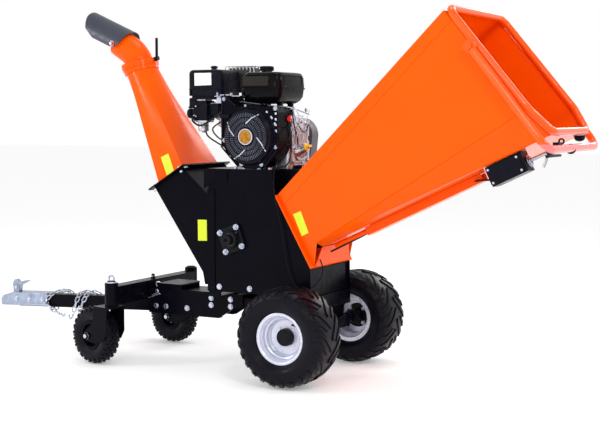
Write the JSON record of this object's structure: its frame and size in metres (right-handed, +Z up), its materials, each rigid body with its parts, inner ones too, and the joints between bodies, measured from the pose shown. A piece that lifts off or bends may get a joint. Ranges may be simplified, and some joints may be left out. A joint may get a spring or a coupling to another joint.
{
  "type": "wood chipper",
  "caption": "Towable petrol wood chipper with a belt-driven drum rotor, wide tilted feed hopper with a stop bar, swivelling discharge chute, caster wheels and a tow coupler.",
  "frame": {"origin": "on the ground under the middle of the bounding box", "axes": "+X towards the feed hopper, +Y towards the belt drive side, +Z up"},
  "size_m": [2.7961, 0.8166, 1.5428],
  "materials": {
    "black_paint": "satin black paint",
    "orange_paint": "gloss orange paint",
    "slate_paint": "satin slate grey paint",
    "grey_paint": "satin grey paint",
    "silver_paint": "silver paint",
    "red_paint": "gloss red paint",
    "zinc": "zinc plated",
    "steel": "machined",
    "bolt_steel": "zinc plated",
    "cast_black": "black cast iron",
    "engine_casting": "cast",
    "aluminium": "cast",
    "muffler_steel": "heat resistant paint",
    "tyre_rubber": "rubber",
    "belt_rubber": "rubber",
    "black_plastic": "moulded",
    "yellow_plastic": "moulded",
    "red_plastic": "moulded"
  },
  "bodies": {
    "chassis": {"axle_frame": "black_paint", "front_rails": "black_paint", "front_crossbeam": "black_paint", "drawbar": "black_paint", "hitch_coupler": "zinc", "safety_chains": "zinc", "housing_near_plate": "black_paint", "housing_far_plate": "black_paint", "drum_casing": "black_paint", "discharge_transition": "black_paint", "discharge_chute": "orange_paint", "engine_deck": "black_paint", "bearing_housings": "cast_black", "hopper_base": "orange_paint", "hopper_near_side": "orange_paint", "hopper_far_side": "orange_paint", "hopper_top": "orange_paint", "hopper_floor": "orange_paint", "hopper_rim_tube": "orange_paint", "cable_cover": "orange_paint", "switch_box": "black_plastic", "engine_block": "engine_casting", "fan_housing": "black_paint", "recoil_cover": "black_plastic", "fuel_tank": "black_paint", "air_cleaner": "black_plastic", "carburettor": "aluminium", "muffler": "muffler_steel", "belt_guard": "grey_paint", "drive_belts": "belt_rubber", "frame_bolts": "bolt_steel", "stop_lead": "black_plastic"},
    "main_wheel_near": {"wheel_tyre_near": "tyre_rubber", "wheel_rim_near": "silver_paint"},
    "main_wheel_far": {"wheel_tyre_far": "tyre_rubber", "wheel_rim_far": "silver_paint"},
    "caster_near": {"caster_fork_near": "black_paint"},
    "caster_far": {"caster_fork_far": "black_paint"},
    "caster_wheel_near": {"caster_tyre_near": "tyre_rubber", "caster_rim_near": "black_paint"},
    "caster_wheel_far": {"caster_tyre_far": "tyre_rubber", "caster_rim_far": "black_paint"},
    "rotor": {"rotor_drum": "steel", "chipper_knives": "steel", "drum_pulley": "cast_black"},
    "crank": {"crankshaft": "steel", "engine_pulley": "cast_black"},
    "elbow": {"chute_elbow": "orange_paint"},
    "deflector": {"deflector": "slate_paint"},
    "clamp": {"clamp_handle": "black_plastic"},
    "stop_bar": {"safety_bar": "red_paint"},
    "stop_rod": {"safety_rod": "steel"},
    "latch": {"hitch_latch": "zinc"},
    "fuel_cap": {"fuel_cap": "black_plastic"},
    "oil_cap": {"oil_cap": "yellow_plastic"},
    "throttle": {"throttle_lever": "bolt_steel"},
    "choke": {"choke_lever": "black_plastic"},
    "fuel_valve": {"fuel_valve_lever": "black_plastic"},
    "grip": {"starter_grip": "black_plastic"},
    "switch": {"engine_switch": "red_plastic"}
  },
  "joints": [
    {"name": "wheel_near_spin", "type": "hinge", "parent": "chassis", "child": "main_wheel_near", "pos_m": [0.333, -0.306, 0.203], "axis": [0, 1, 0], "continuous": true},
    {"name": "wheel_far_spin", "type": "hinge", "parent": "chassis", "child": "main_wheel_far", "pos_m": [0.333, 0.306, 0.203], "axis": [0, 1, 0], "continuous": true},
    {"name": "caster_near_swivel", "type": "hinge", "parent": "chassis", "child": "caster_near", "pos_m": [-0.536, -0.308, 0.31], "axis": [0, 0, 1], "continuous": true},
    {"name": "caster_far_swivel", "type": "hinge", "parent": "chassis", "child": "caster_far", "pos_m": [-0.536, 0.308, 0.31], "axis": [0, 0, 1], "continuous": true},
    {"name": "caster_near_spin", "type": "hinge", "parent": "caster_near", "child": "caster_wheel_near", "pos_m": [-0.63871, -0.28617, 0.127], "axis": [0.2079, 0.9781, 0], "continuous": true},
    {"name": "caster_far_spin", "type": "hinge", "parent": "caster_far", "child": "caster_wheel_far", "pos_m": [-0.64042, 0.31898, 0.127], "axis": [0.1045, 0.9945, 0], "continuous": true},
    {"name": "rotor_spin", "type": "hinge", "parent": "chassis", "child": "rotor", "pos_m": [-0.004, 0, 0.564], "axis": [0, 1, 0], "continuous": true},
    {"name": "crank_spin", "type": "hinge", "parent": "chassis", "child": "crank", "pos_m": [0.089, 0, 0.991], "axis": [0, 1, 0], "continuous": true},
    {"name": "chute_swivel", "type": "hinge", "parent": "chassis", "child": "elbow", "pos_m": [-0.59232, 0, 1.29507], "axis": [-0.2756, 0, 0.9613], "continuous": true},
    {"name": "deflector_tilt", "type": "hinge", "parent": "elbow", "child": "deflector", "pos_m": [-0.68791, 0, 1.39467], "axis": [0, 1, 0], "range_deg": [-35, 10]},
    {"name": "clamp_turn", "type": "hinge", "parent": "elbow", "child": "clamp", "pos_m": [-0.51329, 0, 1.32606], "axis": [0.9613, 0, 0.2756], "range_deg": [-90, 90]},
    {"name": "stop_bar_push", "type": "hinge", "parent": "chassis", "child": "stop_bar", "pos_m": [1.089, 0, 1.326], "axis": [0, 1, 0], "range_deg": [-6, 8]},
    {"name": "stop_rod_slide", "type": "slide", "parent": "chassis", "child": "stop_rod", "axis": [0.9046, 0, 0.4263], "range_m": [-0.066, 0.05]},
    {"name": "latch_lift", "type": "hinge", "parent": "chassis", "child": "latch", "pos_m": [-1.32769, 0, 0.25549], "axis": [0, 1, 0], "range_deg": [-60, 0]},
    {"name": "fuel_cap_turn", "type": "hinge", "parent": "chassis", "child": "fuel_cap", "pos_m": [0.07, -0.02, 1.27], "axis": [0, 0, 1], "range_deg": [0, 120]},
    {"name": "oil_cap_turn", "type": "hinge", "parent": "chassis", "child": "oil_cap", "pos_m": [0.25676, -0.02, 0.94566], "axis": [0.9397, 0, 0.342], "range_deg": [0, 180]},
    {"name": "throttle_turn", "type": "hinge", "parent": "chassis", "child": "throttle", "pos_m": [-0.026, -0.15, 1.1624], "axis": [0, 0, 1], "range_deg": [-12, 12]},
    {"name": "choke_turn", "type": "hinge", "parent": "chassis", "child": "choke", "pos_m": [-0.226, -0.109, 1.116], "axis": [0, 1, 0], "range_deg": [-10, 30]},
    {"name": "fuel_valve_turn", "type": "hinge", "parent": "chassis", "child": "fuel_valve", "pos_m": [-0.226, -0.109, 1.074], "axis": [0, 1, 0], "range_deg": [-30, 10]},
    {"name": "grip_pull", "type": "slide", "parent": "chassis", "child": "grip", "axis": [0, -1, 0], "range_m": [0, 0.35], "stiffness_N_per_m": 40},
    {"name": "switch_turn", "type": "hinge", "parent": "chassis", "child": "switch", "pos_m": [0.2184, -0.104, 1.064], "axis": [1, 0, 0], "range_deg": [0, 60]}
  ],
  "couplings": [
    {"joint": "crank_spin", "follows": "rotor_spin", "ratio": 1.8182},
    {"joint": "stop_rod_slide", "follows": "stop_bar_push", "m_per_rad": -0.44946}
  ]
}
